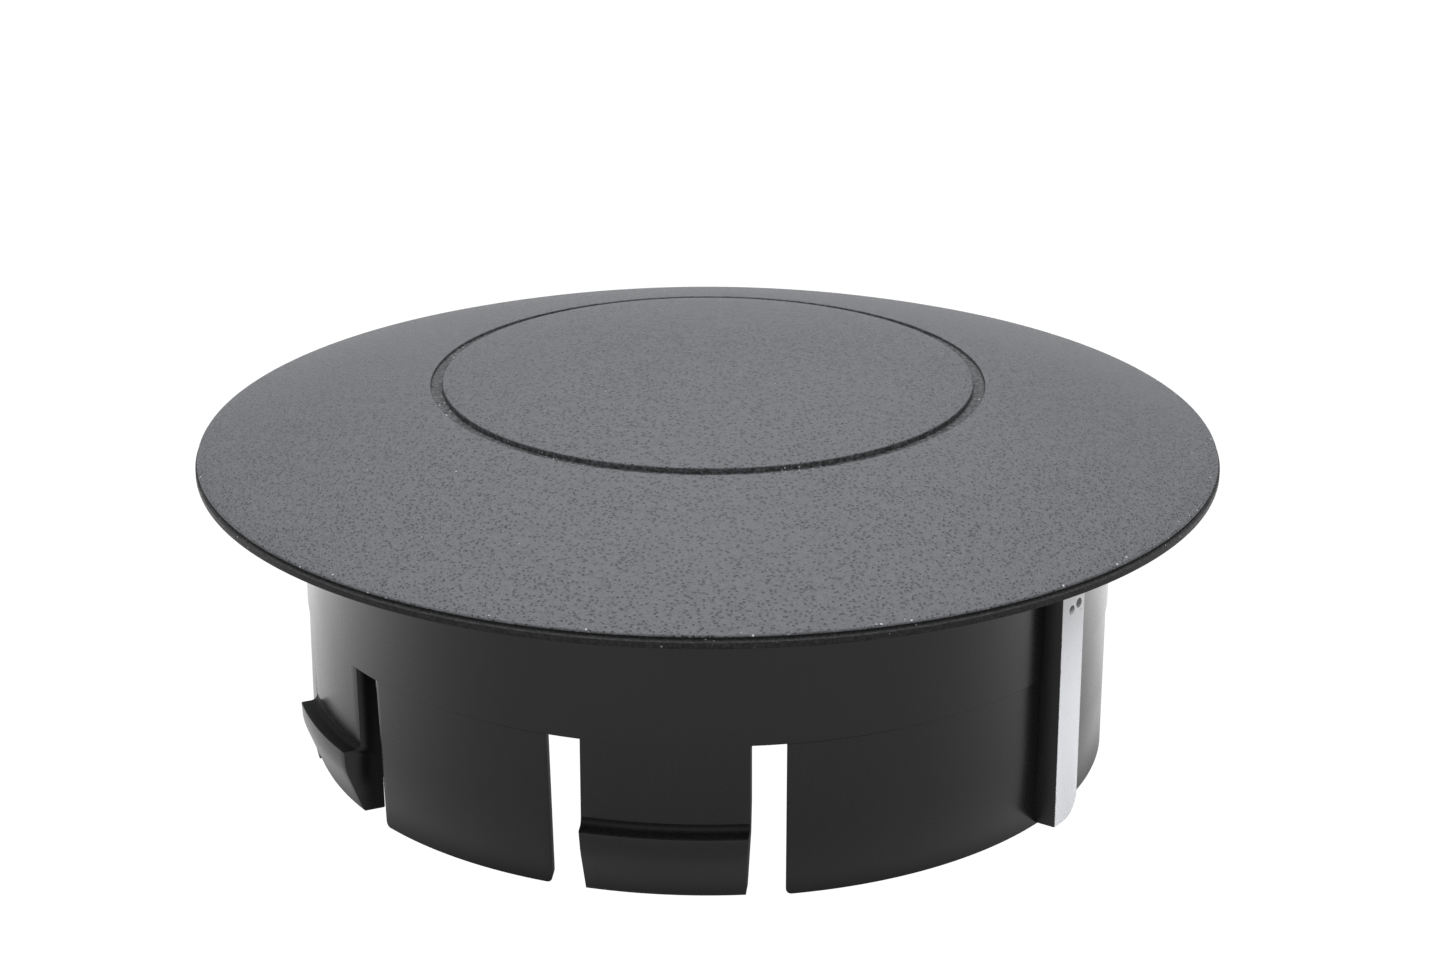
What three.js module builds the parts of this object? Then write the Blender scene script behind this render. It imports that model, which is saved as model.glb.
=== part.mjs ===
// Blank desk grommet: a domed cap that snaps into a round hole in a desk top.
// One moulding, kept as its working regions. Millimetres and degrees, +Z up along the cap's axis.
// z = 0 is the bottom edge of the skirt. The key ribs lie near the X axis, and azimuth 0 is the -Y side.

import * as THREE from 'three';

// Overall heights and radii.
const skirtDepth = 21.6; // bottom edge of the skirt up to the flange's seat
const flangeRadius = 37.35;
const skirtRadius = 29.75; // at the seat
const skirtDraft = 0.006; // radius lost per millimetre of depth
const wallInnerRadius = 28.3;

// Domed cover.
const domeRadius = 110; // sphere that the top follows
const rimRise = 0.99; // dome's height over the seat where it meets the rounded rim
const rimFace = 0.7; // plain band round the rim
const rimRound = 0.25;
const coverThickness = 2;
const ledgeRadius = 20.2; // outer wall of the ring groove
const discRadius = 19.35; // inner wall of the ring groove
const grooveFloor = 5.3; // over the seat
const plateUnder = 4.1; // flat middle of the cover's underside, over the seat
const plateRadius = 15.9;
const plateEdge = 0.6; // width of the step round that flat middle
const collarTop = 1.2; // where the collar meets the cover, over the seat
const seatInnerRadius = 34.2; // flat ring that rests on the desk
const seatRelief = 0.4; // the flange's underside is higher inside that ring

// Skirt, all depths below the seat.
const slotTop = 10.3;
const wallThickness = 1.35;
const wallRecess = 0.1; // wall segments stand back from the collar
const shortWallLean = 0.26; // how far each wall's foot stands in from its top
const longWallLean = 0.04;
const edgeChamfer = 0.2;
const rootGap = 0.3; // room at each tongue's living hinge
const slotWidth = 2.4; // parallel-sided slot between a tongue and the next wall
const slitWidth = 0.12; // on the side of a narrow tongue that is next to a long wall

// Tongues: the front pair, repeated half a turn on.
const wideTongue = { azimuth: 31.4, width: 11.5 };
const narrowTongue = { azimuth: -28.5, width: 9.6 };
const tongueLean = 0.02; // radius lost per millimetre of depth below the root
const ledgeDepth = 16.6; // the hook's flat top
const hookOutline = [
  [30.8, ledgeDepth],
  [30.7, 18.1],
  [29.45, 21.3],
]; // radius and depth, from the ledge's outer corner to the foot
const tipRadius = 29.3;
const tipInnerRadius = 27.8;

// Key ribs, each with one bottom corner rounded.
const ribTurn = 1.9; // on from the X axis
const ribOuterRadius = 31.05;
const ribWidth = 3.1;
const ribGap = 0.02;
const ribTop = 0.8; // over the seat
const ribFoot = 0.2; // over the skirt's bottom edge
const ribCornerRadius = 1.7;

const turnSegments = 72;
const arcStep = 4; // degrees of turn for each facet of a wall or tongue
const roundSteps = 4; // facets of the rim's rounded edge

const radians = THREE.MathUtils.degToRad;
const matteBlack = plastic('matte black', 0x2c2d30, 0.55);
const satinBlack = plastic('satin black', 0x1b1a1a, 0.35);

const sphereCentre = rimRise - Math.sqrt(domeRadius ** 2 - (flangeRadius - rimRound) ** 2);

function plastic(name, color, roughness) {
  const material = new THREE.MeshStandardMaterial({ color, roughness, metalness: 0 });
  material.name = name;
  return material;
}

// Height of the dome over the seat at a radius.
function domeHeight(radius) {
  return sphereCentre + Math.sqrt(domeRadius ** 2 - radius ** 2);
}

// Radius of the drafted skirt at a depth below the seat.
function skirtRadiusAt(depth) {
  return skirtRadius - skirtDraft * depth;
}

// Azimuth, at any radius, of a flat side set off from a tongue's middle plane and parallel to it.
function sideOf(tongue, offset, turn = 0) {
  return (radius) => turn + tongue.azimuth + THREE.MathUtils.radToDeg(Math.asin(offset / radius));
}

// Points along the dome between two radii, lowered by a drop.
function domeArc(fromRadius, toRadius, steps, drop = 0) {
  const points = [];
  for (let step = 0; step <= steps; step += 1) {
    const radius = fromRadius + ((toRadius - fromRadius) * step) / steps;
    points.push([radius, domeHeight(radius) - drop]);
  }
  return points;
}

// Turns a closed outline of [radius, height over the seat] about the cap's axis.
function turned(outline) {
  const points = outline.map(([radius, height]) => new THREE.Vector2(radius, height + skirtDepth));
  const geometry = new THREE.LatheGeometry(points, turnSegments);
  geometry.rotateX(Math.PI / 2);
  return geometry;
}

// Sweeps an outline of [radius, depth below the seat] round the skirt, from one side to another.
function swept(outline, start, end) {
  const span = end(skirtRadius) - start(skirtRadius);
  const points = outline.map(([radius, depth]) => new THREE.Vector2(radius, skirtDepth - depth));
  const shape = new THREE.Shape(points);
  const steps = Math.ceil(span / arcStep);
  const geometry = new THREE.ExtrudeGeometry(shape, { steps, depth: 1, bevelEnabled: false });
  const position = geometry.attributes.position;
  for (let i = 0; i < position.count; i += 1) {
    const radius = position.getX(i);
    const azimuth = radians(THREE.MathUtils.lerp(end(radius), start(radius), position.getZ(i)));
    position.setXYZ(i, radius * Math.sin(azimuth), -radius * Math.cos(azimuth), position.getY(i));
  }
  return geometry;
}

function coverDome() {
  const rimRoundPoints = [];
  for (let step = 1; step < roundSteps; step += 1) {
    const angle = (Math.PI / 2) * (step / roundSteps);
    const radius = flangeRadius - rimRound * (1 - Math.cos(angle));
    const height = rimFace + (rimRise - rimFace) * Math.sin(angle);
    rimRoundPoints.push([radius, height]);
  }
  return turned([
    [0, plateUnder],
    [plateRadius, plateUnder],
    ...domeArc(plateRadius + plateEdge, wallInnerRadius, 3, coverThickness),
    [wallInnerRadius, collarTop],
    [skirtRadius, collarTop],
    [seatInnerRadius, seatRelief],
    [seatInnerRadius, 0],
    [flangeRadius, 0],
    [flangeRadius, rimFace],
    ...rimRoundPoints,
    ...domeArc(flangeRadius - rimRound, ledgeRadius, 6),
    [ledgeRadius, grooveFloor],
    [0, grooveFloor],
  ]);
}

function centreDisc() {
  return turned([[0, grooveFloor], [discRadius, grooveFloor], ...domeArc(discRadius, 0, 5)]);
}

function skirtCollar() {
  return turned([
    [wallInnerRadius, -slotTop],
    [skirtRadiusAt(slotTop), -slotTop],
    [skirtRadius, collarTop],
    [wallInnerRadius, collarTop],
    [wallInnerRadius, -slotTop],
  ]);
}

function skirtWall(start, end, lean) {
  const outerTop = skirtRadiusAt(slotTop) - wallRecess;
  const outerFoot = outerTop - lean;
  return swept(
    [
      [outerFoot - wallThickness, skirtDepth],
      [outerFoot - edgeChamfer, skirtDepth],
      [outerFoot, skirtDepth - edgeChamfer],
      [outerTop, slotTop],
      [outerTop - wallThickness, slotTop],
    ],
    start,
    end,
  );
}

function snapTongue(tongue) {
  const rootDepth = slotTop + rootGap;
  const rootRadius = skirtRadiusAt(rootDepth);
  return swept(
    [
      [tipInnerRadius, skirtDepth],
      [tipRadius, skirtDepth],
      ...hookOutline.slice().reverse(),
      [rootRadius - tongueLean * (ledgeDepth - rootDepth), ledgeDepth],
      [rootRadius, rootDepth],
      [rootRadius - wallThickness, rootDepth],
    ],
    sideOf(tongue, -tongue.width / 2),
    sideOf(tongue, tongue.width / 2),
  );
}

// Its outline is drawn on the face that looks outwards, and its back follows the skirt's draft.
function keyRib() {
  const half = ribWidth / 2;
  const shape = new THREE.Shape();
  const cornerHeight = ribFoot + ribCornerRadius;
  shape.moveTo(-half, ribFoot);
  shape.lineTo(half - ribCornerRadius, ribFoot);
  shape.absarc(half - ribCornerRadius, cornerHeight, ribCornerRadius, -Math.PI / 2, 0, false);
  shape.lineTo(half, skirtDepth + ribTop);
  shape.lineTo(-half, skirtDepth + ribTop);
  shape.closePath();
  const geometry = new THREE.ExtrudeGeometry(shape, { depth: 1, bevelEnabled: false, curveSegments: 5 });
  const position = geometry.attributes.position;
  for (let i = 0; i < position.count; i += 1) {
    const height = position.getY(i);
    const back = skirtRadiusAt(skirtDepth - height) + ribGap;
    const radius = position.getZ(i) > 0 ? ribOuterRadius : back;
    position.setXYZ(i, radius, position.getX(i), height);
  }
  return geometry;
}

function named(name, geometry, material, azimuth = 0) {
  const mesh = new THREE.Mesh(geometry, material);
  mesh.name = name;
  mesh.rotation.z = radians(azimuth);
  return mesh;
}

const grommet = new THREE.Group();
grommet.add(named('cover_dome', coverDome(), matteBlack));
grommet.add(named('centre_disc', centreDisc(), matteBlack));
grommet.add(named('skirt_collar', skirtCollar(), satinBlack));

const wideReach = wideTongue.width / 2 + slotWidth;
const narrowReach = narrowTongue.width / 2 + slotWidth;
const narrowFarReach = narrowTongue.width / 2 + slitWidth;
const frontWall = skirtWall(
  sideOf(narrowTongue, narrowReach),
  sideOf(wideTongue, -wideReach),
  shortWallLean,
);
const rightWall = skirtWall(
  sideOf(wideTongue, wideReach),
  sideOf(narrowTongue, -narrowFarReach, 180),
  longWallLean,
);

for (const [frontName, geometry, rearName] of [
  ['skirt_wall_front', frontWall, 'skirt_wall_rear'],
  ['skirt_wall_right', rightWall, 'skirt_wall_left'],
  ['snap_tongue_front_right', snapTongue(wideTongue), 'snap_tongue_rear_left'],
  ['snap_tongue_front_left', snapTongue(narrowTongue), 'snap_tongue_rear_right'],
]) {
  grommet.add(named(frontName, geometry, satinBlack));
  grommet.add(named(rearName, geometry.clone(), satinBlack, 180));
}

grommet.add(named('key_rib_right', keyRib(), satinBlack, ribTurn));
grommet.add(named('key_rib_left', keyRib(), satinBlack, 180 + ribTurn));

export default grommet;
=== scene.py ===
import math

import bmesh
import bpy
from mathutils import Matrix, Vector


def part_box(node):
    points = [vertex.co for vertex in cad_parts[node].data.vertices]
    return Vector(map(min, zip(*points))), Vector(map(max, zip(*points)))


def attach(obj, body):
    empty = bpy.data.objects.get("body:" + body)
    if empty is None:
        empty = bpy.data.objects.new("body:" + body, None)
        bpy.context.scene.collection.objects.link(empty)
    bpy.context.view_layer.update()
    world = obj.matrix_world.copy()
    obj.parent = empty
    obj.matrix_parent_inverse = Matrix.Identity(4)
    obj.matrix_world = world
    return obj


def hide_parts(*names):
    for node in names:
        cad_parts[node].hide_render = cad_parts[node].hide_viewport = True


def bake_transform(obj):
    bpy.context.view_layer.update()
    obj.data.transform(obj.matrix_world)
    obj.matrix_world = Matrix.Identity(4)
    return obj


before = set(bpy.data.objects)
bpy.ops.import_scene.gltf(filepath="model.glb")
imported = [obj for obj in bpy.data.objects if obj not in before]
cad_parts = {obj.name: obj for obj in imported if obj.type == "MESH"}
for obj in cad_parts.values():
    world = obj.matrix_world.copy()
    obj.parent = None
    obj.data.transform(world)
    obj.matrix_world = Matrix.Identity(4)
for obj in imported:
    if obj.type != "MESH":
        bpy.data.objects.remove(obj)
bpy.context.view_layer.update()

mm = 0.001
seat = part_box("cover_dome")[0].z / mm  # height of the flange's seat over the skirt's foot
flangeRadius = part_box("cover_dome")[1].x / mm
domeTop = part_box("centre_disc")[1].z / mm
print("frame loaded, seat at %.2f mm, flange radius %.2f mm" % (seat, flangeRadius))


# Camera, on the side that shows a wide tongue and one key rib.
view = {
    "turn": 36.8,  # degrees from -Y towards +X
    "sideways": 1.08,
    "back": 242.35,
    "height": 109.33,
    "pitch": 20.41,
    "roll": 0.14,
    "lens": 87.2,
    "sensor": 36.0,
    "clip": (0.01, 20),  # metres
}

cameraData = bpy.data.cameras.new("productCamera")
cameraData.lens = view["lens"]
cameraData.sensor_width = view["sensor"]
cameraData.clip_start, cameraData.clip_end = view["clip"]
camera = bpy.data.objects.new("productCamera", cameraData)
bpy.context.collection.objects.link(camera)
turnView = Matrix.Rotation(math.radians(view["turn"]), 4, "Z")
placeView = Matrix.Translation(Vector((view["sideways"], -view["back"], view["height"])) * mm)
tiltView = Matrix.Rotation(math.radians(90 - view["pitch"]), 4, "X")
rollView = Matrix.Rotation(math.radians(view["roll"]), 4, "Z")
camera.matrix_world = turnView @ placeView @ tiltView @ rollView
bpy.context.scene.camera = camera
bpy.context.scene.view_settings.view_transform = "Standard"


# Shader wiring: a socket that can be used in sums, and the sheet of nodes it belongs to.
class Field:
    def __init__(self, sheet, socket):
        self.sheet = sheet
        self.socket = socket

    def sums(self, operation, first, second):
        return self.sheet.node("ShaderNodeMath", {"operation": operation}, {0: first, 1: second})

    def __add__(self, other):
        return self.sums("ADD", self, other)

    def __sub__(self, other):
        return self.sums("SUBTRACT", self, other)

    def __rsub__(self, other):
        return self.sums("SUBTRACT", other, self)

    def __mul__(self, other):
        return self.sums("MULTIPLY", self, other)

    __radd__ = __add__
    __rmul__ = __mul__

    def between(self, low, high):  # 0 below low, 1 above high, smooth in between
        settings = {"interpolation_type": "SMOOTHSTEP"}
        inputs = {"Value": self, "From Min": low, "From Max": high}
        return self.sheet.node("ShaderNodeMapRange", settings, inputs)


class Sheet:
    def __init__(self, tree):
        self.tree = tree
        tree.nodes.clear()

    def node(self, kind, settings=None, inputs=None, output=0):
        made = self.tree.nodes.new(kind)
        for key, value in (settings or {}).items():
            setattr(made, key, value)
        for key, value in (inputs or {}).items():
            if isinstance(value, Field):
                self.tree.links.new(value.socket, made.inputs[key])
            else:
                made.inputs[key].default_value = value
        return Field(self, made.outputs[output])

    def mixed(self, amount, first, second):  # colours
        inputs = {"Factor": amount, 6: first, 7: second}
        return self.node("ShaderNodeMix", {"data_type": "RGBA"}, inputs, 2)

    def noise(self, place, scale, detail=2.0, roughness=0.5):
        inputs = {"Vector": place, "Scale": scale, "Detail": detail, "Roughness": roughness}
        return self.node("ShaderNodeTexNoise", {}, inputs)

    def cells(self, place, scale):  # distance from the nearest of many scattered points
        return self.node("ShaderNodeTexVoronoi", {}, {"Vector": place, "Scale": scale})

    def spots(self, place, scale, radius, core=0.5):  # 1 on scattered spots, 0 around them
        return 1 - self.cells(place, scale).between(radius * core, radius)


def grey(level, tint=(1, 1, 1)):
    return (level * tint[0], level * tint[1], level * tint[2], 1)


# A material whose Object coordinates are given in millimetres, with its distance from the cap's axis.
class Finish(Sheet):
    def __init__(self, name, constants):
        self.material = bpy.data.materials.new(name)
        self.material.use_nodes = True
        super().__init__(self.material.node_tree)
        self.skin = self.tree.nodes.new("ShaderNodeBsdfPrincipled")
        for key, value in constants.items():
            self.skin.inputs[key].default_value = value
        output = self.tree.nodes.new("ShaderNodeOutputMaterial")
        self.tree.links.new(self.skin.outputs[0], output.inputs["Surface"])
        metres = self.node("ShaderNodeTexCoord", output=3)
        self.place = self.node("ShaderNodeVectorMath", {"operation": "SCALE"}, {0: metres, "Scale": 1 / mm})
        flat = self.node("ShaderNodeVectorMath", {"operation": "MULTIPLY"}, {0: self.place, 1: (1, 1, 0)})
        self.radius = self.node("ShaderNodeVectorMath", {"operation": "LENGTH"}, {0: flat}, 1)
        self.height = self.node("ShaderNodeSeparateXYZ", {}, {0: self.place}, 2)

    def feed(self, **links):
        for key, value in links.items():
            self.tree.links.new(value.socket, self.skin.inputs[key.replace("_", " ")])

    def bumped(self, height, distance):
        return self.node("ShaderNodeBump", {}, {"Height": height, "Distance": distance * mm})


# Eroded matte texture of the visible top. Scales are features per millimetre.
grainLook = {
    "dark": 0.001,
    "light": 0.040,
    "tint": (0.98, 0.99, 1.05),
    "roughness": 0.48,
    "roughSpread": 0.18,
    "fineScale": 5.5,
    "coarseScale": 2.3,
    "pitScale": 3.4,
    "pitReach": (0.12, 0.42),
    "shares": (0.55, 0.5, 0.3),  # of fine grain, coarse grain and pits in the relief
    "grainDepth": 0.16,  # millimetres
    "toneReach": (0.5, 0.95),  # relief over which dark turns light
    "cloudScale": 0.09,
    "cloudReach": (0.35, 0.7),
    "cloudShare": 0.18,
    "dust": 0.3,
    "dustShare": 0.5,
    "dustScale": 0.21,  # dust lies in patches
    "dustReach": (0.52, 0.6),
    "speckScale": 0.5,
    "speckRadius": 0.045,
    # Pale specks near the rim's edge, below, are painted glints.
    "paintedGlint": 0.35,
    "paintedGlintShare": 0.7,
    "paintedSpeckScale": 1.3,
    "paintedSpeckRadius": 0.13,
    "wearAndPaintedLight": (36.6, 36.95),  # radius near the rim's edge that gets the painted glints
}


def grainedBlack():
    look = grainLook
    finish = Finish("grainedBlack", {"Specular IOR Level": 0.5, "IOR": 1.5})
    fine = finish.noise(finish.place, look["fineScale"], 3, 0.65)
    coarse = finish.noise(finish.place, look["coarseScale"], 3, 0.6)
    pits = finish.cells(finish.place, look["pitScale"])
    cloud = finish.noise(finish.place, look["cloudScale"], 3)
    fineShare, coarseShare, pitShare = look["shares"]
    relief = fine * fineShare + coarse * coarseShare + pits.between(*look["pitReach"]) * pitShare
    dark, light = grey(look["dark"], look["tint"]), grey(look["light"], look["tint"])
    base = finish.mixed(relief.between(*look["toneReach"]), dark, light)
    base = finish.mixed(cloud.between(*look["cloudReach"]) * look["cloudShare"], base, light)
    dust = finish.spots(finish.place, look["speckScale"], look["speckRadius"])
    settled = finish.noise(finish.place, look["dustScale"], 0).between(*look["dustReach"])
    base = finish.mixed(dust * settled * look["dustShare"], base, grey(look["dust"]))
    # Pale specks near the rim's edge: painted glints.
    paintedSpecks = finish.spots(finish.place, look["paintedSpeckScale"], look["paintedSpeckRadius"])
    wearAndPaintedLight = finish.radius.between(*look["wearAndPaintedLight"])
    base = finish.mixed(paintedSpecks * wearAndPaintedLight * look["paintedGlintShare"], base, grey(look["paintedGlint"]))
    finish.feed(
        Base_Color=base,
        Roughness=look["roughness"] + relief * look["roughSpread"],
        Normal=finish.bumped(relief, look["grainDepth"]),
    )
    return finish.material


# Smooth black of the skirt, ribs, tongues and underside.
glossLook = {
    "colour": (0.0040, 0.0035, 0.0033),
    "wearAndPaintedLight": (0.0072, 0.0064, 0.0060),
    "roughness": 0.18,
    "hazeSpread": 0.12,
    "fineSpread": 0.08,
    "drawn": (1, 1, 0.08),  # streaks run down the skirt
    "streakScale": 2.4,
    "hazeScale": 0.16,
    "fineScale": 5.5,
    "shares": (0.4, 0.6),  # of streaks and fine grain in the tone
    "toneReach": (0.4, 0.75),
    "wornShare": 0.6,
    "fineDepth": 0.002,
}


def mouldedBlack():
    look = glossLook
    finish = Finish("mouldedBlack", {"Specular IOR Level": 0.5, "IOR": 1.5})
    drawn = finish.node("ShaderNodeMapping", {}, {"Vector": finish.place, "Scale": look["drawn"]})
    streaks = finish.noise(drawn, look["streakScale"], 3)
    haze = finish.noise(finish.place, look["hazeScale"], 3)
    fine = finish.noise(finish.place, look["fineScale"], 2)
    tone = streaks * look["shares"][0] + fine * look["shares"][1]
    wearAndPaintedLight = tone.between(*look["toneReach"]) * look["wornShare"]
    finish.feed(
        Base_Color=finish.mixed(wearAndPaintedLight, (*look["colour"], 1), (*look["wearAndPaintedLight"], 1)),
        Roughness=look["roughness"] + haze * look["hazeSpread"] + fine * look["fineSpread"],
        Normal=finish.bumped(tone, look["fineDepth"]),
    )
    return finish.material


# Painted shade on the hooks' ledges: a darker, less glossy black standing in for the shade that falls there.
ledgeShadeLook = {
    "colour": (0.0022, 0.0021, 0.0022),
    "wearAndPaintedLight": (0.0045, 0.0042, 0.0042),
    "specular": 0.12,
    "roughness": 0.5,
    "roughSpread": 0.15,
    "scale": 3.0,
    "toneReach": (0.35, 0.7),
    "depth": 0.006,
}


def paintedLedgeShade():
    look = ledgeShadeLook
    finish = Finish("paintedLedgeShade", {"Specular IOR Level": look["specular"], "IOR": 1.5})
    fine = finish.noise(finish.place, look["scale"], 3)
    wearAndPaintedLight = fine.between(*look["toneReach"])
    finish.feed(
        Base_Color=finish.mixed(wearAndPaintedLight, (*look["colour"], 1), (*look["wearAndPaintedLight"], 1)),
        Roughness=look["roughness"] + fine * look["roughSpread"],
        Normal=finish.bumped(fine, look["depth"]),
    )
    return finish.material


# Dull black of the ring groove and of the band round the rim, with pale flecks in patches; round the rim the
# flecks are painted glints.
dullLook = {
    "toneReach": (0.35, 0.7),
    "roughness": 0.55,
    "roughSpread": 0.15,
    "depth": 0.02,
    "patchScale": 0.12,  # the flecks lie in patches
    "patchReach": (0.48, 0.6),
}
grooveLook = {
    **dullLook,
    "dark": 0.018,
    "light": 0.06,
    "tint": (1.0, 0.99, 1.0),
    "specular": 0.12,
    "scale": 4.0,
    "fleck": 0.45,
    "fleckScale": 2.6,
    "fleckRadius": 0.17,
}
rimLook = {
    **dullLook,
    "dark": 0.010,
    "light": 0.024,
    "tint": (1.0, 0.97, 0.97),
    "specular": 0.15,
    "scale": 5.0,
    # Pale flecks round the rim are painted glints.
    "fleck": 0.25,
    "fleckScale": 2.2,
    "fleckRadius": 0.15,
}


def dullBlack(name, look):
    finish = Finish(name, {"Specular IOR Level": look["specular"], "IOR": 1.5})
    fine = finish.noise(finish.place, look["scale"], 3)
    dark, light = grey(look["dark"], look["tint"]), grey(look["light"], look["tint"])
    base = finish.mixed(fine.between(*look["toneReach"]), dark, light)
    flecks = finish.spots(finish.place, look["fleckScale"], look["fleckRadius"])
    patches = finish.noise(finish.place, look["patchScale"], 1).between(*look["patchReach"])
    finish.feed(
        Base_Color=finish.mixed(flecks * patches, base, grey(look["fleck"])),
        Roughness=look["roughness"] + fine * look["roughSpread"],
        Normal=finish.bumped(fine, look["depth"]),
    )
    return finish.material


rib = {
    "turn": 1.9,  # degrees on from the X axis
    "outerRadius": 31.05,
    "innerRadius": 29.2,
    "width": 3.1,
    "top": 0.8,  # over the seat
    "foot": 0.2,  # over the skirt's foot
    "cornerRadius": 1.7,
    "edgeRound": 0.06,
}

# Painted reflection on the key ribs' outer face: a pale face with a ragged leading edge and a few dark specks
# where the reflection breaks.
ribReflectionLook = {
    "pale": 0.8,
    "dull": 0.6,
    "dark": 0.008,
    "tint": (0.99, 0.99, 1.01),
    "roughness": 0.5,
    "roughSpread": 0.15,
    "edge": (-1.56, -1.46),  # across the face, in millimetres
    "ragged": 0.35,
    "mottleScale": 1.6,
    "mottleReach": (0.58, 0.8),
    "mottleShare": 0.5,
    "fineScale": 6.4,
    "fineReach": (0.6, 0.8),
    "fineShare": 0.3,
    "depth": 0.01,
    "depthShares": (0.6, 0.4),  # of mottle and fine grain
    "paintedSpeckScale": 0.9,
    "paintedSpeckRadius": 0.36,
    "paintedSpeckCore": 0.88,
    "paintedSpeckHeight": (15.8, 16.6),  # dark specks above this
}


def paintedRibReflection():
    look = ribReflectionLook
    finish = Finish("paintedRibReflection", {"Specular IOR Level": 0.5, "IOR": 1.5})
    square = finish.node("ShaderNodeVectorRotate", {"rotation_type": "Z_AXIS"},
                         {"Vector": finish.place, "Angle": -math.radians(rib["turn"])})
    outward = finish.node("ShaderNodeSeparateXYZ", {}, {0: square}, 0)
    across = finish.node("ShaderNodeSeparateXYZ", {}, {0: square}, 1) * outward.sums("SIGN", outward, 0)
    mottle = finish.noise(finish.place, look["mottleScale"], 4, 0.6)
    fine = finish.noise(finish.place, look["fineScale"], 3)
    pale, dull, dark = (grey(look[level], look["tint"]) for level in ("pale", "dull", "dark"))
    dulled = mottle.between(*look["mottleReach"]) * look["mottleShare"]
    dulled = dulled + fine.between(*look["fineReach"]) * look["fineShare"]
    base = finish.mixed(dulled, pale, dull)
    # Dark specks that break the painted reflection.
    paintedSpecks = finish.spots(finish.place, look["paintedSpeckScale"], look["paintedSpeckRadius"], look["paintedSpeckCore"])
    base = finish.mixed(paintedSpecks * finish.height.between(*look["paintedSpeckHeight"]), base, dark)
    # The pale painted reflection stops at a ragged line short of the leading edge.
    reflectionMask = (across + mottle * look["ragged"] - look["ragged"] / 2).between(*look["edge"])
    base = finish.mixed(reflectionMask, dark, base)
    relief = mottle * look["depthShares"][0] + fine * look["depthShares"][1]
    finish.feed(
        Base_Color=base,
        Roughness=look["roughness"] + fine * look["roughSpread"],
        Normal=finish.bumped(relief, look["depth"]),
    )
    return finish.material


topFinish = grainedBlack()
plainFinish = mouldedBlack()
ribReflectionFinish = paintedRibReflection()
ledgeShadeFinish = paintedLedgeShade()
grooveFinish = dullBlack("dullGroove", grooveLook)
rimFinish = dullBlack("dullRim", rimLook)
capFinishes = [topFinish, plainFinish, grooveFinish, rimFinish]
print("finishes made")


# Bmesh helpers. Shapes are drawn in millimetres.
cornerAngle = 0.8  # radians between two faces, past which a cut edge is rounded


def outline(mesh, points, height=0.0):  # a flat face in the XZ plane from pairs of radius and height
    corners = [mesh.verts.new((x, 0, z + height)) for x, z in points]
    mesh.faces.new(corners)
    return corners


def rounded(mesh, geometry, offset, segments=3, affect="VERTICES"):
    bmesh.ops.bevel(mesh, geom=geometry, offset=offset, offset_type="OFFSET", segments=segments, profile=0.5,
                    affect=affect, material=-1, clamp_overlap=True)


def thickened(mesh, step):  # the flat faces and a moved copy of them, with walls between
    everything = list(mesh.faces) + list(mesh.edges) + list(mesh.verts)
    lifted = bmesh.ops.extrude_face_region(mesh, geom=everything, use_keep_orig=True)
    moved = [item for item in lifted["geom"] if isinstance(item, bmesh.types.BMVert)]
    bmesh.ops.translate(mesh, verts=moved, vec=step)


def cut(mesh, place, normal):
    everything = list(mesh.verts) + list(mesh.edges) + list(mesh.faces)
    bmesh.ops.bisect_plane(mesh, geom=everything, dist=1e-4, plane_co=place, plane_no=normal)


def swung(mesh, azimuth):  # round the cap's axis
    turn = Matrix.Rotation(math.radians(azimuth), 3, "Z")
    bmesh.ops.rotate(mesh, verts=mesh.verts, cent=(0, 0, 0), matrix=turn)


def cleaned(mesh, reach=0.002):
    bmesh.ops.remove_doubles(mesh, verts=mesh.verts, dist=reach)
    bmesh.ops.recalc_face_normals(mesh, faces=mesh.faces)


def finished(mesh, name, nodes, materials, body="cap", sharp=32):
    bmesh.ops.scale(mesh, vec=(mm, mm, mm), verts=mesh.verts)
    data = bpy.data.meshes.new(name)
    mesh.to_mesh(data)
    mesh.free()
    for material in materials:
        data.materials.append(material)
    data.shade_smooth()
    data.set_sharp_from_angle(angle=math.radians(sharp))
    piece = bpy.data.objects.new(name, data)
    bpy.context.collection.objects.link(piece)
    if body:
        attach(piece, body)
    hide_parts(*nodes)
    print("made", name, len(data.polygons), "faces")
    return piece


# Domed cover with its ring groove and rounded rim.
cover = {
    "domeRadius": 110.0,
    "lip": (0.12, 0.82),  # the grained top stops this far in from the rim, at this height over the seat
    "lipRound": 0.12,
    "parting": (0.27, 0.76, 0.62),  # dark groove under the lip: depth from the rim, top and foot
    "bandTop": 0.48,  # plain band round the rim, up to the groove
    "seatEdgeRound": 0.12,
    "grooveInner": 19.35,
    "grooveOuter": 20.2,
    "grooveFloor": 5.3,  # over the seat
    "grooveRound": 0.1,
    "grooveDeepRound": 0.1,
    "plateUnder": 4.1,
    "plateRadius": 15.9,
    "plateEdge": 0.6,
    "thickness": 2.0,
    "collarInner": 28.3,
    "collarOuter": 29.75,
    "collarTop": 1.2,
    "seatInner": 34.2,
    "seatRelief": 0.4,
    "arcSteps": 10,
    "underSteps": 4,
    "turnSteps": 240,
    "slack": (0.05, 0.15),  # room at the grooves' walls and the ring groove's floor, as faces are told apart
}
domeCentre = domeTop - seat - cover["domeRadius"]


def domeHeight(radius):
    return domeCentre + math.sqrt(cover["domeRadius"] ** 2 - radius ** 2)


def domePoints(start, end, steps, drop=0.0):
    radii = [start + (end - start) * step / steps for step in range(steps + 1)]
    return [(radius, domeHeight(radius) - drop) for radius in radii]


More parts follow.
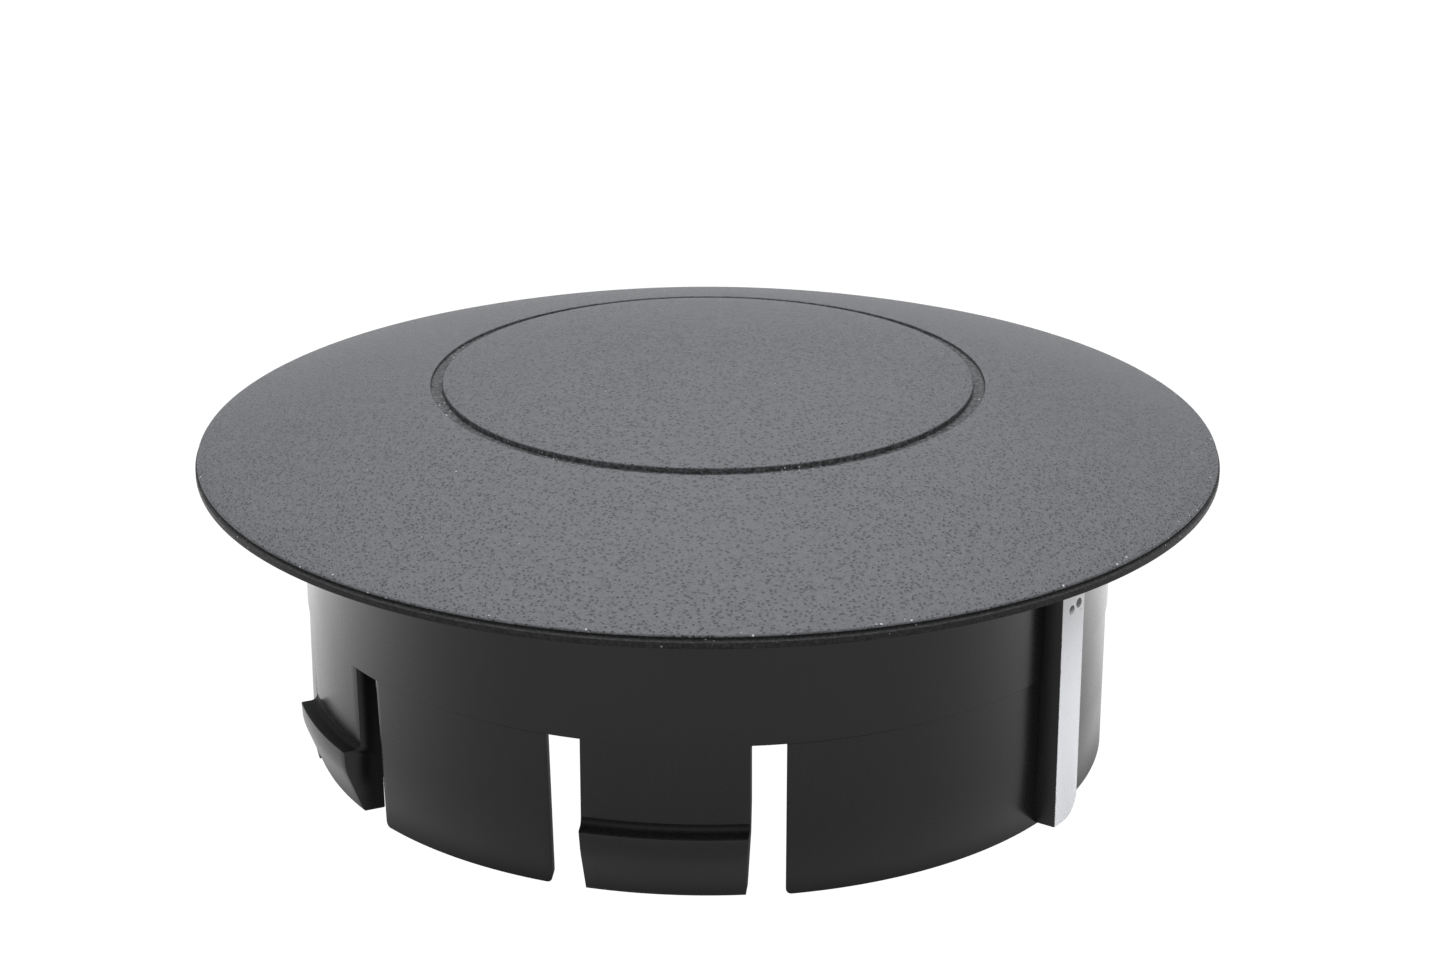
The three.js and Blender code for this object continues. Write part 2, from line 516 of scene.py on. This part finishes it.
def turned(mesh, corners):  # keeps the outline's edges only and spins them into a shell
    bmesh.ops.delete(mesh, geom=list(mesh.faces), context="FACES_ONLY")
    onAxis = [edge for edge in mesh.edges if all(abs(vert.co.x) < 1e-6 for vert in edge.verts)]
    bmesh.ops.delete(mesh, geom=onAxis, context="EDGES_FACES")
    bmesh.ops.spin(mesh, geom=list(mesh.verts) + list(mesh.edges), cent=(0, 0, 0), axis=(0, 0, 1),
                   angle=2 * math.pi, steps=cover["turnSteps"], use_merge=True)
    cleaned(mesh)


def shareFaces(mesh, lowest):  # 0 on the grained top, 1 underneath, 2 in the ring groove, 3 round the rim
    shape = cover
    wallSlack, floorSlack = shape["slack"]
    grooveFloor, grooveOuter = shape["grooveFloor"], shape["grooveOuter"]
    partingRadius = flangeRadius - shape["parting"][0]
    for face in mesh.faces:
        centre = face.calc_center_median()
        radius = centre.xy.length
        height = centre.z - seat
        up = face.normal.z
        inRing = shape["grooveInner"] - wallSlack < radius < grooveOuter + wallSlack and up < 0.5
        onFloor = radius < grooveOuter and abs(height - grooveFloor) < floorSlack and up > 0
        onRim = radius > partingRadius - wallSlack and height < shape["lip"][1]
        if (inRing and height > grooveFloor) or onFloor:
            face.material_index = 2
        elif onRim and up > -0.8 and height > 0:
            face.material_index = 3
        else:
            face.material_index = 0 if up > -0.3 and height > lowest else 1


def coverDome():
    shape = cover
    mesh = bmesh.new()
    lipRadius = flangeRadius - shape["lip"][0]
    partingRadius = flangeRadius - shape["parting"][0]
    plateOuter = shape["plateRadius"] + shape["plateEdge"]
    points = domePoints(shape["grooveOuter"], lipRadius, shape["arcSteps"])
    points += [
        (lipRadius, shape["lip"][1]),
        (partingRadius, shape["parting"][1]),
        (partingRadius, shape["parting"][2]),
        (flangeRadius, shape["bandTop"]),
        (flangeRadius, 0),
        (shape["seatInner"], 0),
        (shape["seatInner"], shape["seatRelief"]),
        (shape["collarOuter"], shape["collarTop"]),
        (shape["collarInner"], shape["collarTop"]),
        *domePoints(shape["collarInner"], plateOuter, shape["underSteps"], shape["thickness"]),
        (shape["plateRadius"], shape["plateUnder"]),
        (0, shape["plateUnder"]),
        (0, shape["grooveFloor"]),
        (shape["grooveOuter"], shape["grooveFloor"]),
    ]
    corners = outline(mesh, points, seat)
    rim = shape["arcSteps"]
    rounded(mesh, [corners[rim]], shape["lipRound"], 3)
    rounded(mesh, [corners[rim + 5], corners[rim + 6]], shape["seatEdgeRound"], 2)
    rounded(mesh, [corners[0]], shape["grooveRound"], 4)
    rounded(mesh, [corners[-1]], shape["grooveDeepRound"], 3)
    turned(mesh, corners)
    shareFaces(mesh, shape["lip"][1])
    return finished(mesh, "coverDome", ["cover_dome"], capFinishes)


def centreDisc():
    shape = cover
    mesh = bmesh.new()
    points = domePoints(0, shape["grooveInner"], shape["arcSteps"])
    points += [(shape["grooveInner"], shape["grooveFloor"]), (0, shape["grooveFloor"])]
    corners = outline(mesh, points, seat)
    rounded(mesh, [corners[shape["arcSteps"]]], shape["grooveRound"], 4)
    turned(mesh, corners)
    shareFaces(mesh, shape["grooveFloor"] + 0.01)
    return finished(mesh, "centreDisc", ["centre_disc"], capFinishes)


coverDome()
centreDisc()


# Skirt: a comb cut from a flat strip and rolled round the axis, half a turn at a time.
skirt = {
    "radius": 29.75,  # at the seat
    "draft": 0.006,
    "innerRadius": 28.3,
    "collarTop": 1.25,  # over the seat
    "slotTop": 11.3,  # height over the foot
    "wallThickness": 1.35,
    "wallRecess": 0.1,
    "partingHeight": 0.09,
    "footRound": 0.42,
    "edgeRound": 0.06,
    "slotWidth": 2.4,  # parallel-sided slot between a tongue and the next wall
    "slitWidth": 0.12,  # between a narrow tongue and a long wall
    "shortLean": 0.26,
    "shortShift": 0.3,  # how far round the short walls' feet are set
    "longLean": 0.04,
    "shortReach": 30,  # degrees either side of -Y that only a short wall comes within
    "turnStep": 1.25,
    "endReach": 8.0,  # degrees of wall that its end face's slant is spread over
}
tongues = {"wide": {"azimuth": 31.4, "width": 11.5}, "narrow": {"azimuth": -28.5, "width": 9.6}}
rollRadius = skirt["radius"] - skirt["draft"] * (seat - skirt["slotTop"])


def skirtRadiusAt(height):
    return skirt["radius"] - skirt["draft"] * (seat - height)


def sideOf(kind, side, gap, radius):  # azimuth at a radius of a slot's flat side, parallel to the tongue
    offset = tongues[kind]["width"] / 2 + gap
    return tongues[kind]["azimuth"] + side * math.degrees(math.asin(offset / radius))


def wallEnds(radius):  # azimuths of the walls' ends from -90 to 90, and the side of each that is wall
    slot, slit = skirt["slotWidth"], skirt["slitWidth"]
    return [
        (sideOf("narrow", -1, slit, radius), -1),
        (sideOf("narrow", 1, slot, radius), 1),
        (sideOf("wide", -1, slot, radius), -1),
        (sideOf("wide", 1, slot, radius), 1),
    ]


def along(azimuth):  # place of an azimuth on the flat strip
    return math.radians(azimuth) * rollRadius


def rolled(mesh, thickness):  # leaves each wall's ends as flat sides parallel to the next tongue
    ends = wallEnds(rollRadius)
    for vert in mesh.verts:
        azimuth = math.degrees(vert.co.x / rollRadius)
        height = vert.co.z
        inward = vert.co.y / thickness
        outer = skirtRadiusAt(height)
        inner = skirt["innerRadius"]
        onWall = height < skirt["slotTop"] - skirt["partingHeight"] / 2
        if onWall:
            short = abs(azimuth) < skirt["shortReach"]
            drop = 1 - height / skirt["slotTop"]
            outer = rollRadius - skirt["wallRecess"] - drop * skirt["shortLean" if short else "longLean"]
            inner = outer - skirt["wallThickness"]
        radius = outer + (inner - outer) * inward
        if onWall:
            for (end, side), (there, _) in zip(ends, wallEnds(radius)):
                away = (azimuth - end) * side
                if -1e-3 < away < skirt["endReach"]:
                    azimuth += (there - end) * (1 - away / skirt["endReach"])
                    break
            azimuth += math.degrees(skirt["shortShift"] * drop / rollRadius) * short
        turn = math.radians(azimuth)
        vert.co = (radius * math.sin(turn), -radius * math.cos(turn), height)


def skirtComb():
    shape = skirt
    thickness = shape["wallThickness"]
    mesh = bmesh.new()
    top = seat + shape["collarTop"]
    ends = [along(azimuth) for azimuth, _ in wallEnds(rollRadius)]
    side = along(90)
    teeth = [(-side, 0)]
    for slotStart, slotEnd in (ends[:2], ends[2:]):
        teeth += [(slotStart, 0), (slotStart, shape["slotTop"]), (slotEnd, shape["slotTop"]), (slotEnd, 0)]
    teeth.append((side, 0))
    corners = outline(mesh, teeth + [(side, top), (-side, top)])
    feet = [corners[index] for index in (1, 4, 5, 8)]
    rounded(mesh, feet, shape["footRound"], 4)
    slotTop = shape["slotTop"]
    for height in (slotTop, slotTop - shape["partingHeight"], slotTop / 2, (slotTop + seat) / 2):
        cut(mesh, (0, 0, height), (0, 0, 1))
    for turn in range(1, round(180 / shape["turnStep"])):
        cut(mesh, (along(-90 + shape["turnStep"] * turn), 0, 0), (1, 0, 0))
    thickened(mesh, (0, thickness, 0))
    joints = [face for face in mesh.faces if all(abs(abs(vert.co.x) - side) < 1e-4 for vert in face.verts)]
    bmesh.ops.delete(mesh, geom=joints, context="FACES_ONLY")
    cleaned(mesh, 1e-5)
    edges = [edge for edge in mesh.edges if cutEdge(edge, side, top)]
    rounded(mesh, edges, shape["edgeRound"], 2, "EDGES")
    rolled(mesh, thickness)
    bmesh.ops.spin(mesh, geom=list(mesh.verts) + list(mesh.edges) + list(mesh.faces), cent=(0, 0, 0),
                   axis=(0, 0, 1), angle=math.pi, steps=1, use_duplicate=True)
    cleaned(mesh, 1e-3)
    nodes = ["skirt_collar"] + ["skirt_wall_" + place for place in ("front", "right", "rear", "left")]
    return finished(mesh, "skirtComb", nodes, [plainFinish])


def cutEdge(edge, side, top):  # edges of the walls' ends and feet, on both faces of the strip
    if len(edge.link_faces) != 2 or edge.calc_face_angle(0) < cornerAngle:
        return False
    first, second = (vert.co for vert in edge.verts)
    if min(first.z, second.z) > skirt["slotTop"] - 1e-3:
        return False
    return abs(first.y - second.y) < 1e-4


skirtComb()


# Key ribs, each with one bottom corner rounded.
def keyRib(name, node, azimuth):
    shape = rib
    mesh = bmesh.new()
    half = shape["width"] / 2
    foot, top = shape["foot"], seat + shape["top"]
    corners = outline(mesh, [(-half, foot), (half, foot), (half, top), (-half, top)])
    rounded(mesh, [corners[1]], shape["cornerRadius"], 8)
    bmesh.ops.translate(mesh, verts=list(mesh.verts), vec=(0, -shape["outerRadius"], 0))
    thickened(mesh, (0, shape["outerRadius"] - shape["innerRadius"], 0))
    cleaned(mesh)
    edges = [edge for edge in mesh.edges if edge.calc_face_angle(0) > cornerAngle
             and all(vert.co.y < -shape["outerRadius"] + 0.01 for vert in edge.verts)]
    rounded(mesh, edges, shape["edgeRound"], 2, "EDGES")
    for face in mesh.faces:
        # The rib's outer face gets the painted reflection.
        face.material_index = 1 if face.normal.y < -0.95 else 0
    swung(mesh, azimuth)
    return finished(mesh, name, [node], [plainFinish, ribReflectionFinish])


keyRib("keyRibRight", "key_rib_right", 90 + rib["turn"])
keyRib("keyRibLeft", "key_rib_left", 270 + rib["turn"])


# Snap tongues, parallel sided, with a hooked foot. Heights are over the foot.
tongue = {
    "thickness": 1.35,
    "lean": 0.02,  # radius lost per millimetre below the root
    "rootHeight": 11.3,
    "ledgeHeight": 5.0,
    "hookOutline": [(30.8, 5.0), (30.7, 3.5), (29.45, 0.3)],  # radius and height
    "tipRadius": 29.3,
    "tipInnerRadius": 27.8,
    "tenon": 0.05,  # how far its root stands inside the collar's faces
    "tenonHeight": 1.0,
    "ledgeRound": 0.1,
    "ledgeFillet": 0.5,
    "ledgeDip": 0.1,  # its painted shade starts this far below it, on faces turned up more than ledgeFacing
    "ledgeFacing": 0.12,
    "hookRound": 0.5,
    "footRound": 0.4,
    "edgeRound": 0.06,
    "sideAngle": 0.5,  # radians between a side and a face that meets it in a rounded edge
    "footTaper": 0.28,  # how far each side comes in at the foot
    "columns": 12,
    "bendRows": 12,  # cuts below the root, where a real snap tongue flexes
    "bendStep": 0.2,
    "shankRows": (8.2, 7.4, 6.6, 4.2, 2.4, 1.3),
    "blend": (11.3, 9.7),
}


def snapTongue(name, node, kind, turn):
    shape = tongue
    width = tongues[kind]["width"]
    azimuth = tongues[kind]["azimuth"] + turn
    mesh = bmesh.new()
    root = shape["rootHeight"]
    rootRadius = skirtRadiusAt(root)
    leanRadius = rootRadius - shape["lean"] * (root - shape["ledgeHeight"])
    rootInner = rootRadius - shape["thickness"]
    top = root + shape["tenonHeight"]
    points = [
        (rootRadius - shape["tenon"], top),
        (rootRadius - shape["tenon"], root),
        (rootRadius, root),
        (leanRadius, shape["ledgeHeight"]),
        *shape["hookOutline"],
        (shape["tipRadius"], 0),
        (shape["tipInnerRadius"], 0),
        (rootInner, root),
        (rootInner + shape["tenon"], top),
    ]
    corners = outline(mesh, points)
    rounded(mesh, [corners[3]], shape["ledgeFillet"], 5)
    rounded(mesh, [corners[index] for index in (4, 7, 8)], shape["ledgeRound"], 2)
    rounded(mesh, [corners[5]], shape["hookRound"], 3)
    half = width / 2
    bmesh.ops.translate(mesh, verts=mesh.verts, vec=(0, -half, 0))
    thickened(mesh, (0, width, 0))
    cleaned(mesh, 1e-4)
    foot = [edge for edge in sideEdges(mesh, half) if max(vert.co.z for vert in edge.verts) < 0.01]
    rounded(mesh, foot, shape["footRound"], 4, "EDGES")
    rest = [edge for edge in sideEdges(mesh, half) if min(vert.co.z for vert in edge.verts) < root - 0.01]
    rounded(mesh, rest, shape["edgeRound"], 2, "EDGES")
    for column in range(1, shape["columns"]):
        cut(mesh, (0, -half + width * column / shape["columns"], 0), (0, 1, 0))
    bendRows = [root - shape["bendStep"] * row for row in range(1, shape["bendRows"])]
    for height in bendRows + list(shape["shankRows"]):
        cut(mesh, (0, 0, height), (0, 0, 1))
    # Faces on the hook's ledge get the painted shade.
    for face in mesh.faces:
        rise = face.calc_center_median().z - shape["ledgeHeight"]
        onLedge = -shape["ledgeDip"] < rise < shape["ledgeFillet"] and face.normal.z > shape["ledgeFacing"]
        face.material_index = 1 if onLedge else 0
    for vert in mesh.verts:  # bent to the skirt's curve, with its sides parallel down to the ledge
        radius, across, height = vert.co
        below = max(0, 1 - height / shape["ledgeHeight"])
        across *= 1 - below * shape["footTaper"] / half
        vert.co = (across, -math.sqrt(radius ** 2 - across ** 2), height)
    swung(mesh, azimuth)
    bmesh.ops.recalc_face_normals(mesh, faces=mesh.faces)
    piece = finished(mesh, name, [node], [plainFinish, ledgeShadeFinish], None)
    outward = Vector((math.sin(math.radians(azimuth)), -math.cos(math.radians(azimuth)), 0))
    start, end = (outward * rootRadius * mm + Vector((0, 0, height * mm)) for height in shape["blend"])
    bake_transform(piece)
    return piece


def sideEdges(mesh, half):  # edges between a flat side and the faces next to it
    return [edge for edge in mesh.edges if edge.calc_face_angle(0) > tongue["sideAngle"]
            and all(abs(abs(vert.co.y) - half) < 1e-4 for vert in edge.verts)]


for place, kind, turn in (
    ("front_right", "wide", 0),
    ("rear_left", "wide", 180),
    ("front_left", "narrow", 0),
    ("rear_right", "narrow", 180),
):
    end, side = (word.title() for word in place.split("_"))
    snapTongue("snapTongue" + end + side, "snap_tongue_" + place, kind, turn)


# Pale floor and soft white surroundings. Both look plain white; the glow they throw on the cap is set apart.
studio = {
    "floorRadius": 2.0,  # metres
    "floorCorners": 64,
    "floorDrop": 0.02,  # millimetres below the skirt's foot
    "white": 1.05,
    "floorNear": 0.72,  # glow of the floor on the camera's side
    "floorFar": 2.5,
    "floorSpan": (-45, 40),  # millimetres behind the axis over which it brightens
    "floorInside": 0.2,  # share of it under the cap, lowered there as a painted shadow
    "floorShade": 0.6,  # share of it at the foot of the skirt
    "shadeReach": (30.0, 75.0),
    "skyLow": 0.33,
    "skyHigh": 5.4,
    "skySides": 0.5,  # how much dimmer it is to either side than behind, overhead and in front
    "sidesSpan": (0.0, 0.4),  # square of the direction's sideways part
    "skySpan": (0.25, 0.95),  # sine of the height over which it brightens
    "skyTint": (0.985, 1.01, 1.045),
}


def seenWhite(sheet, glow):
    seen = sheet.node("ShaderNodeLightPath")
    return sheet.mixed(seen, glow, grey(studio["white"]))


def paleFloor():
    shape = studio
    mesh = bmesh.new()
    bmesh.ops.create_circle(mesh, cap_ends=True, radius=shape["floorRadius"], segments=shape["floorCorners"])
    bmesh.ops.translate(mesh, verts=mesh.verts, vec=(0, 0, -shape["floorDrop"] * mm))
    data = bpy.data.meshes.new("floor")
    mesh.to_mesh(data)
    mesh.free()
    floor = bpy.data.objects.new("floor", data)
    bpy.context.collection.objects.link(floor)
    finish = Finish("paleFloor", {"Roughness": 1.0, "Specular IOR Level": 0.0, "Emission Strength": 1.0})
    finish.skin.inputs["Base Color"].default_value = grey(0.0)
    turned = finish.node("ShaderNodeVectorRotate", {"rotation_type": "Z_AXIS"},
                         {"Vector": finish.place, "Angle": -math.radians(view["turn"])})
    behind = finish.node("ShaderNodeSeparateXYZ", {}, {0: turned}, 1)
    spread = shape["floorFar"] - shape["floorNear"]
    glow = shape["floorNear"] + behind.between(*shape["floorSpan"]) * spread
    # Lower glow under the cap and at the skirt's foot is painted shadow.
    under = finish.radius.between(skirt["innerRadius"], rib["outerRadius"])
    shade = shape["floorShade"] + finish.radius.between(*shape["shadeReach"]) * (1 - shape["floorShade"])
    glow = glow * shade * (shape["floorInside"] + under * (1 - shape["floorInside"]))
    finish.feed(Emission_Color=seenWhite(finish, glow))
    data.materials.append(finish.material)


def surroundings():
    shape = studio
    world = bpy.data.worlds.new("studioWhite")
    bpy.context.scene.world = world
    world.use_nodes = True
    sheet = Sheet(world.node_tree)
    direction = sheet.node("ShaderNodeTexCoord")
    rise = sheet.node("ShaderNodeSeparateXYZ", {}, {0: direction}, 2)
    turned = sheet.node("ShaderNodeVectorRotate", {"rotation_type": "Z_AXIS"},
                        {"Vector": direction, "Angle": -math.radians(view["turn"])})
    sideways = sheet.node("ShaderNodeSeparateXYZ", {}, {0: turned}, 0)
    level = shape["skyLow"] + rise.between(*shape["skySpan"]) * (shape["skyHigh"] - shape["skyLow"])
    level = level * (1 - (sideways * sideways).between(*shape["sidesSpan"]) * shape["skySides"])
    tinted = sheet.node("ShaderNodeVectorMath", {"operation": "SCALE"}, {0: shape["skyTint"], "Scale": level})
    glow = sheet.node("ShaderNodeBackground", {}, {"Color": seenWhite(sheet, tinted)})
    output = sheet.tree.nodes.new("ShaderNodeOutputWorld")
    sheet.tree.links.new(glow.socket, output.inputs["Surface"])


paleFloor()
surroundings()
